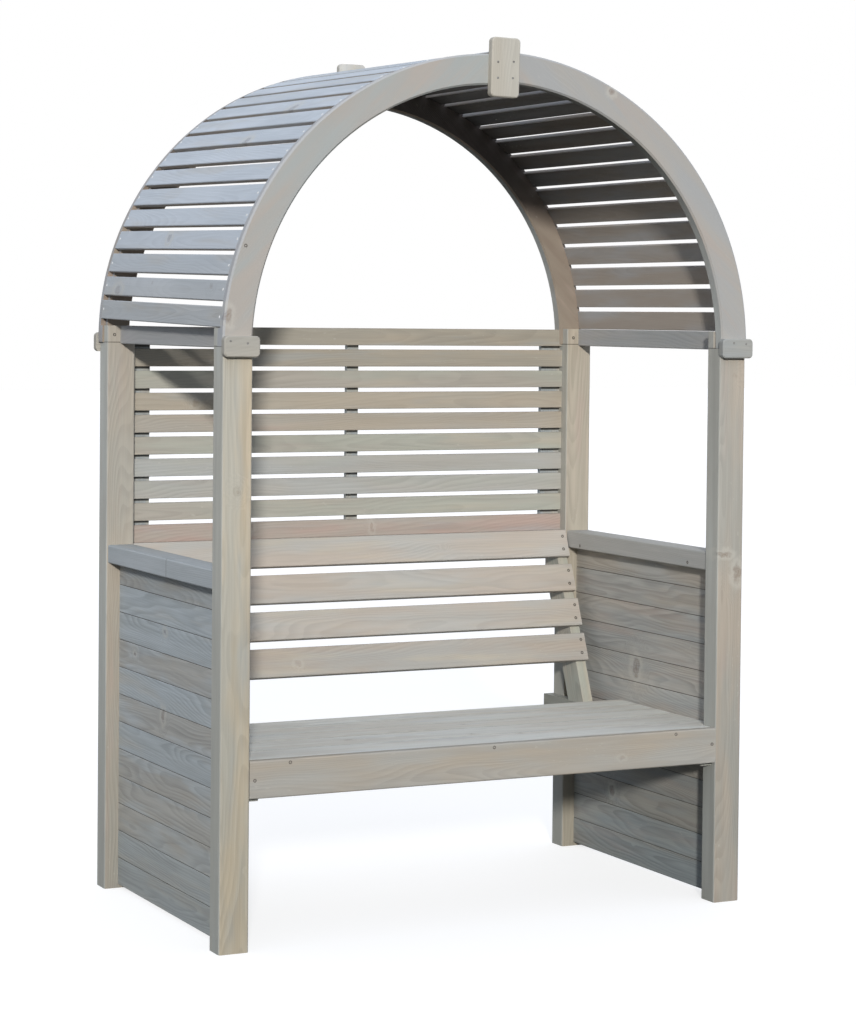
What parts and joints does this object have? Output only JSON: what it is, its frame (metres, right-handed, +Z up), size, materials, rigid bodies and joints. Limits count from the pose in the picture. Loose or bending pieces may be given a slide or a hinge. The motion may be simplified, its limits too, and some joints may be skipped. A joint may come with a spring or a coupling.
{
  "type": "arbour seat",
  "caption": "Garden arbour seat: bench between four posts with boarded sides, armrests, reclined slatted back, trellis and an arched slatted roof.",
  "frame": {"origin": "on the ground, at the middle of the whole outline seen from above", "axes": "+Z up; -Y is the open front that a sitter faces; +X is to the right as seen from the front"},
  "size_m": [1.36, 0.836, 2.032],
  "materials": {
    "post_timber": "planed softwood with a thin grey wash, matt",
    "arch_timber": "planed softwood with a thin grey wash, matt",
    "plate_timber": "planed softwood with a thin grey wash, matt",
    "roof_timber": "planed softwood with a thin grey wash, matt",
    "side_timber": "planed softwood with a thin grey wash, matt",
    "rail_timber": "planed softwood with a thin grey wash, matt",
    "seat_timber": "planed softwood with a thin grey wash, matt",
    "back_timber": "planed softwood with a thin grey wash, matt",
    "trellis_timber": "planed softwood with a thin grey wash, matt",
    "fastener_steel": "dull zinc-plated nail and screw heads"
  },
  "bodies": {
    "root": {"arch_front_left": "arch_timber", "arch_front_right": "arch_timber", "arch_rear_left": "arch_timber", "arch_rear_right": "arch_timber", "armrest_left": "rail_timber", "armrest_right": "rail_timber", "back_slat_1": "back_timber", "back_slat_2": "back_timber", "back_slat_3": "back_timber", "back_slat_4": "back_timber", "back_support_left": "back_timber", "back_support_right": "back_timber", "eaves_rail_left": "rail_timber", "eaves_rail_right": "rail_timber", "joint_block_front_left": "plate_timber", "joint_block_front_right": "plate_timber", "joint_block_rear_left": "plate_timber", "joint_block_rear_right": "plate_timber", "keystone_front": "plate_timber", "keystone_rear": "plate_timber", "post_front_left": "post_timber", "post_front_right": "post_timber", "post_rear_left": "post_timber", "post_rear_right": "post_timber", "roof_slat_crown": "roof_timber", "roof_slats_left": "roof_timber", "roof_slats_right": "roof_timber", "seat_bearer_left": "seat_timber", "seat_bearer_right": "seat_timber", "seat_board_1": "seat_timber", "seat_board_2": "seat_timber", "seat_board_3": "seat_timber", "seat_board_4": "seat_timber", "seat_board_5": "seat_timber", "seat_fascia": "seat_timber", "seat_tie": "seat_timber", "side_boards_left": "side_timber", "side_boards_right": "side_timber", "side_cleat_front_left": "side_timber", "side_cleat_front_right": "side_timber", "side_cleat_rear_left": "side_timber", "side_cleat_rear_right": "side_timber", "trellis_batten_left": "trellis_timber", "trellis_batten_middle": "trellis_timber", "trellis_batten_right": "trellis_timber", "trellis_slat_01": "trellis_timber", "trellis_slat_02": "trellis_timber", "trellis_slat_03": "trellis_timber", "trellis_slat_04": "trellis_timber", "trellis_slat_05": "trellis_timber", "trellis_slat_06": "trellis_timber", "trellis_slat_07": "trellis_timber", "trellis_slat_08": "trellis_timber", "trellis_slat_09": "trellis_timber", "trellis_slat_10": "trellis_timber"}
  },
  "joints": []
}
